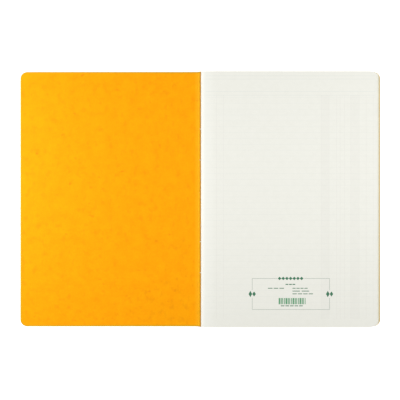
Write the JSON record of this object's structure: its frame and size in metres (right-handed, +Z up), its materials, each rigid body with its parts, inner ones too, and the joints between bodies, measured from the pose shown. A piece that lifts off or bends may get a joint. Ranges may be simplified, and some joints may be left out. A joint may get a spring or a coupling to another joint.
{
  "type": "ledger book",
  "caption": "Thread-sewn A4 ledger book with an orange pressboard cover, lying open at its first page; the cover and the leaves turn about the fold.",
  "frame": {"origin": "on the table under the fold, at the middle of the book's height", "axes": "+X from the fold to the fore edge of the pages, +Y to the head of the page, +Z up from the table"},
  "size_m": [0.42, 0.297, 0.0065],
  "materials": {
    "cover_card": "matt pressboard",
    "ledger_paper": "uncoated",
    "thread": "twisted thread"
  },
  "bodies": {
    "back_cover_and_spine": {"back_cover": "cover_card", "stitch_head_outside": "thread", "stitch_tail_outside": "thread"},
    "front_cover": {"front_cover": "cover_card"},
    "leaf_01": {"leaf_01": "ledger_paper"},
    "leaf_02": {"leaf_02": "ledger_paper"},
    "leaf_03": {"leaf_03": "ledger_paper"},
    "leaf_04": {"leaf_04": "ledger_paper"},
    "leaf_05": {"leaf_05": "ledger_paper"},
    "leaf_06": {"leaf_06": "ledger_paper"},
    "leaf_07": {"leaf_07": "ledger_paper"},
    "leaf_08": {"leaf_08": "ledger_paper"},
    "leaf_09": {"leaf_09": "ledger_paper"},
    "leaf_10": {"leaf_10": "ledger_paper"},
    "leaf_11": {"leaf_11": "ledger_paper"},
    "leaf_12": {"leaf_12": "ledger_paper"},
    "leaf_13": {"leaf_13": "ledger_paper"},
    "leaf_14": {"leaf_14": "ledger_paper"},
    "leaf_15": {"leaf_15": "ledger_paper"},
    "leaf_16": {"leaf_16": "ledger_paper"},
    "leaf_17": {"leaf_17": "ledger_paper"},
    "leaf_18": {"leaf_18": "ledger_paper"},
    "leaf_19": {"leaf_19": "ledger_paper"},
    "leaf_20": {"leaf_20": "ledger_paper", "stitch_head_inside": "thread", "stitch_tail_inside": "thread"},
    "leaf_21": {"leaf_21": "ledger_paper"},
    "leaf_22": {"leaf_22": "ledger_paper"},
    "leaf_23": {"leaf_23": "ledger_paper"},
    "leaf_24": {"leaf_24": "ledger_paper"},
    "leaf_25": {"leaf_25": "ledger_paper"},
    "leaf_26": {"leaf_26": "ledger_paper"},
    "leaf_27": {"leaf_27": "ledger_paper"},
    "leaf_28": {"leaf_28": "ledger_paper"},
    "leaf_29": {"leaf_29": "ledger_paper"},
    "leaf_30": {"leaf_30": "ledger_paper"},
    "leaf_31": {"leaf_31": "ledger_paper"},
    "leaf_32": {"leaf_32": "ledger_paper"},
    "leaf_33": {"leaf_33": "ledger_paper"},
    "leaf_34": {"leaf_34": "ledger_paper"},
    "leaf_35": {"leaf_35": "ledger_paper"},
    "leaf_36": {"leaf_36": "ledger_paper"},
    "leaf_37": {"leaf_37": "ledger_paper"},
    "leaf_38": {"leaf_38": "ledger_paper"},
    "leaf_39": {"leaf_39": "ledger_paper"},
    "leaf_40": {"leaf_40": "ledger_paper"}
  },
  "joints": [
    {"name": "front_cover_turn", "type": "hinge", "parent": "back_cover_and_spine", "child": "front_cover", "pos_m": [0, 0, 0.00355], "axis": [0, -1, 0], "range_deg": [-180, 0]},
    {"name": "leaf_01_turn", "type": "hinge", "parent": "back_cover_and_spine", "child": "leaf_01", "pos_m": [0, 0, 0.00355], "axis": [0, -1, 0], "range_deg": [0, 180]},
    {"name": "leaf_02_turn", "type": "hinge", "parent": "back_cover_and_spine", "child": "leaf_02", "pos_m": [0, 0, 0.00355], "axis": [0, -1, 0], "range_deg": [0, 180]},
    {"name": "leaf_03_turn", "type": "hinge", "parent": "back_cover_and_spine", "child": "leaf_03", "pos_m": [0, 0, 0.00355], "axis": [0, -1, 0], "range_deg": [0, 180]},
    {"name": "leaf_04_turn", "type": "hinge", "parent": "back_cover_and_spine", "child": "leaf_04", "pos_m": [0, 0, 0.00355], "axis": [0, -1, 0], "range_deg": [0, 180]},
    {"name": "leaf_05_turn", "type": "hinge", "parent": "back_cover_and_spine", "child": "leaf_05", "pos_m": [0, 0, 0.00355], "axis": [0, -1, 0], "range_deg": [0, 180]},
    {"name": "leaf_06_turn", "type": "hinge", "parent": "back_cover_and_spine", "child": "leaf_06", "pos_m": [0, 0, 0.00355], "axis": [0, -1, 0], "range_deg": [0, 180]},
    {"name": "leaf_07_turn", "type": "hinge", "parent": "back_cover_and_spine", "child": "leaf_07", "pos_m": [0, 0, 0.00355], "axis": [0, -1, 0], "range_deg": [0, 180]},
    {"name": "leaf_08_turn", "type": "hinge", "parent": "back_cover_and_spine", "child": "leaf_08", "pos_m": [0, 0, 0.00355], "axis": [0, -1, 0], "range_deg": [0, 180]},
    {"name": "leaf_09_turn", "type": "hinge", "parent": "back_cover_and_spine", "child": "leaf_09", "pos_m": [0, 0, 0.00355], "axis": [0, -1, 0], "range_deg": [0, 180]},
    {"name": "leaf_10_turn", "type": "hinge", "parent": "back_cover_and_spine", "child": "leaf_10", "pos_m": [0, 0, 0.00355], "axis": [0, -1, 0], "range_deg": [0, 180]},
    {"name": "leaf_11_turn", "type": "hinge", "parent": "back_cover_and_spine", "child": "leaf_11", "pos_m": [0, 0, 0.00355], "axis": [0, -1, 0], "range_deg": [0, 180]},
    {"name": "leaf_12_turn", "type": "hinge", "parent": "back_cover_and_spine", "child": "leaf_12", "pos_m": [0, 0, 0.00355], "axis": [0, -1, 0], "range_deg": [0, 180]},
    {"name": "leaf_13_turn", "type": "hinge", "parent": "back_cover_and_spine", "child": "leaf_13", "pos_m": [0, 0, 0.00355], "axis": [0, -1, 0], "range_deg": [0, 180]},
    {"name": "leaf_14_turn", "type": "hinge", "parent": "back_cover_and_spine", "child": "leaf_14", "pos_m": [0, 0, 0.00355], "axis": [0, -1, 0], "range_deg": [0, 180]},
    {"name": "leaf_15_turn", "type": "hinge", "parent": "back_cover_and_spine", "child": "leaf_15", "pos_m": [0, 0, 0.00355], "axis": [0, -1, 0], "range_deg": [0, 180]},
    {"name": "leaf_16_turn", "type": "hinge", "parent": "back_cover_and_spine", "child": "leaf_16", "pos_m": [0, 0, 0.00355], "axis": [0, -1, 0], "range_deg": [0, 180]},
    {"name": "leaf_17_turn", "type": "hinge", "parent": "back_cover_and_spine", "child": "leaf_17", "pos_m": [0, 0, 0.00355], "axis": [0, -1, 0], "range_deg": [0, 180]},
    {"name": "leaf_18_turn", "type": "hinge", "parent": "back_cover_and_spine", "child": "leaf_18", "pos_m": [0, 0, 0.00355], "axis": [0, -1, 0], "range_deg": [0, 180]},
    {"name": "leaf_19_turn", "type": "hinge", "parent": "back_cover_and_spine", "child": "leaf_19", "pos_m": [0, 0, 0.00355], "axis": [0, -1, 0], "range_deg": [0, 180]},
    {"name": "leaf_20_turn", "type": "hinge", "parent": "back_cover_and_spine", "child": "leaf_20", "pos_m": [0, 0, 0.00355], "axis": [0, -1, 0], "range_deg": [0, 180]},
    {"name": "leaf_21_turn", "type": "hinge", "parent": "back_cover_and_spine", "child": "leaf_21", "pos_m": [0, 0, 0.00355], "axis": [0, -1, 0], "range_deg": [0, 180]},
    {"name": "leaf_22_turn", "type": "hinge", "parent": "back_cover_and_spine", "child": "leaf_22", "pos_m": [0, 0, 0.00355], "axis": [0, -1, 0], "range_deg": [0, 180]},
    {"name": "leaf_23_turn", "type": "hinge", "parent": "back_cover_and_spine", "child": "leaf_23", "pos_m": [0, 0, 0.00355], "axis": [0, -1, 0], "range_deg": [0, 180]},
    {"name": "leaf_24_turn", "type": "hinge", "parent": "back_cover_and_spine", "child": "leaf_24", "pos_m": [0, 0, 0.00355], "axis": [0, -1, 0], "range_deg": [0, 180]},
    {"name": "leaf_25_turn", "type": "hinge", "parent": "back_cover_and_spine", "child": "leaf_25", "pos_m": [0, 0, 0.00355], "axis": [0, -1, 0], "range_deg": [0, 180]},
    {"name": "leaf_26_turn", "type": "hinge", "parent": "back_cover_and_spine", "child": "leaf_26", "pos_m": [0, 0, 0.00355], "axis": [0, -1, 0], "range_deg": [0, 180]},
    {"name": "leaf_27_turn", "type": "hinge", "parent": "back_cover_and_spine", "child": "leaf_27", "pos_m": [0, 0, 0.00355], "axis": [0, -1, 0], "range_deg": [0, 180]},
    {"name": "leaf_28_turn", "type": "hinge", "parent": "back_cover_and_spine", "child": "leaf_28", "pos_m": [0, 0, 0.00355], "axis": [0, -1, 0], "range_deg": [0, 180]},
    {"name": "leaf_29_turn", "type": "hinge", "parent": "back_cover_and_spine", "child": "leaf_29", "pos_m": [0, 0, 0.00355], "axis": [0, -1, 0], "range_deg": [0, 180]},
    {"name": "leaf_30_turn", "type": "hinge", "parent": "back_cover_and_spine", "child": "leaf_30", "pos_m": [0, 0, 0.00355], "axis": [0, -1, 0], "range_deg": [0, 180]},
    {"name": "leaf_31_turn", "type": "hinge", "parent": "back_cover_and_spine", "child": "leaf_31", "pos_m": [0, 0, 0.00355], "axis": [0, -1, 0], "range_deg": [0, 180]},
    {"name": "leaf_32_turn", "type": "hinge", "parent": "back_cover_and_spine", "child": "leaf_32", "pos_m": [0, 0, 0.00355], "axis": [0, -1, 0], "range_deg": [0, 180]},
    {"name": "leaf_33_turn", "type": "hinge", "parent": "back_cover_and_spine", "child": "leaf_33", "pos_m": [0, 0, 0.00355], "axis": [0, -1, 0], "range_deg": [0, 180]},
    {"name": "leaf_34_turn", "type": "hinge", "parent": "back_cover_and_spine", "child": "leaf_34", "pos_m": [0, 0, 0.00355], "axis": [0, -1, 0], "range_deg": [0, 180]},
    {"name": "leaf_35_turn", "type": "hinge", "parent": "back_cover_and_spine", "child": "leaf_35", "pos_m": [0, 0, 0.00355], "axis": [0, -1, 0], "range_deg": [0, 180]},
    {"name": "leaf_36_turn", "type": "hinge", "parent": "back_cover_and_spine", "child": "leaf_36", "pos_m": [0, 0, 0.00355], "axis": [0, -1, 0], "range_deg": [0, 180]},
    {"name": "leaf_37_turn", "type": "hinge", "parent": "back_cover_and_spine", "child": "leaf_37", "pos_m": [0, 0, 0.00355], "axis": [0, -1, 0], "range_deg": [0, 180]},
    {"name": "leaf_38_turn", "type": "hinge", "parent": "back_cover_and_spine", "child": "leaf_38", "pos_m": [0, 0, 0.00355], "axis": [0, -1, 0], "range_deg": [0, 180]},
    {"name": "leaf_39_turn", "type": "hinge", "parent": "back_cover_and_spine", "child": "leaf_39", "pos_m": [0, 0, 0.00355], "axis": [0, -1, 0], "range_deg": [0, 180]},
    {"name": "leaf_40_turn", "type": "hinge", "parent": "back_cover_and_spine", "child": "leaf_40", "pos_m": [0, 0, 0.00355], "axis": [0, -1, 0], "range_deg": [0, 180]}
  ],
  "couplings": [
    {"joint": "leaf_02_turn", "follows": "leaf_01_turn", "ratio": 0.99359},
    {"joint": "leaf_03_turn", "follows": "leaf_01_turn", "ratio": 0.98718},
    {"joint": "leaf_04_turn", "follows": "leaf_01_turn", "ratio": 0.98077},
    {"joint": "leaf_05_turn", "follows": "leaf_01_turn", "ratio": 0.97436},
    {"joint": "leaf_06_turn", "follows": "leaf_01_turn", "ratio": 0.96795},
    {"joint": "leaf_07_turn", "follows": "leaf_01_turn", "ratio": 0.96154},
    {"joint": "leaf_08_turn", "follows": "leaf_01_turn", "ratio": 0.95513},
    {"joint": "leaf_09_turn", "follows": "leaf_01_turn", "ratio": 0.94872},
    {"joint": "leaf_10_turn", "follows": "leaf_01_turn", "ratio": 0.94231},
    {"joint": "leaf_11_turn", "follows": "leaf_01_turn", "ratio": 0.9359},
    {"joint": "leaf_12_turn", "follows": "leaf_01_turn", "ratio": 0.92949},
    {"joint": "leaf_13_turn", "follows": "leaf_01_turn", "ratio": 0.92308},
    {"joint": "leaf_14_turn", "follows": "leaf_01_turn", "ratio": 0.91667},
    {"joint": "leaf_15_turn", "follows": "leaf_01_turn", "ratio": 0.91026},
    {"joint": "leaf_16_turn", "follows": "leaf_01_turn", "ratio": 0.90385},
    {"joint": "leaf_17_turn", "follows": "leaf_01_turn", "ratio": 0.89744},
    {"joint": "leaf_18_turn", "follows": "leaf_01_turn", "ratio": 0.89103},
    {"joint": "leaf_19_turn", "follows": "leaf_01_turn", "ratio": 0.88462},
    {"joint": "leaf_20_turn", "follows": "leaf_01_turn", "ratio": 0.87821},
    {"joint": "leaf_21_turn", "follows": "leaf_01_turn", "ratio": 0.87179},
    {"joint": "leaf_22_turn", "follows": "leaf_01_turn", "ratio": 0.86538},
    {"joint": "leaf_23_turn", "follows": "leaf_01_turn", "ratio": 0.85897},
    {"joint": "leaf_24_turn", "follows": "leaf_01_turn", "ratio": 0.85256},
    {"joint": "leaf_25_turn", "follows": "leaf_01_turn", "ratio": 0.84615},
    {"joint": "leaf_26_turn", "follows": "leaf_01_turn", "ratio": 0.83974},
    {"joint": "leaf_27_turn", "follows": "leaf_01_turn", "ratio": 0.83333},
    {"joint": "leaf_28_turn", "follows": "leaf_01_turn", "ratio": 0.82692},
    {"joint": "leaf_29_turn", "follows": "leaf_01_turn", "ratio": 0.82051},
    {"joint": "leaf_30_turn", "follows": "leaf_01_turn", "ratio": 0.8141},
    {"joint": "leaf_31_turn", "follows": "leaf_01_turn", "ratio": 0.80769},
    {"joint": "leaf_32_turn", "follows": "leaf_01_turn", "ratio": 0.80128},
    {"joint": "leaf_33_turn", "follows": "leaf_01_turn", "ratio": 0.79487},
    {"joint": "leaf_34_turn", "follows": "leaf_01_turn", "ratio": 0.78846},
    {"joint": "leaf_35_turn", "follows": "leaf_01_turn", "ratio": 0.78205},
    {"joint": "leaf_36_turn", "follows": "leaf_01_turn", "ratio": 0.77564},
    {"joint": "leaf_37_turn", "follows": "leaf_01_turn", "ratio": 0.76923},
    {"joint": "leaf_38_turn", "follows": "leaf_01_turn", "ratio": 0.76282},
    {"joint": "leaf_39_turn", "follows": "leaf_01_turn", "ratio": 0.75641},
    {"joint": "leaf_40_turn", "follows": "leaf_01_turn", "ratio": 0.75}
  ]
}
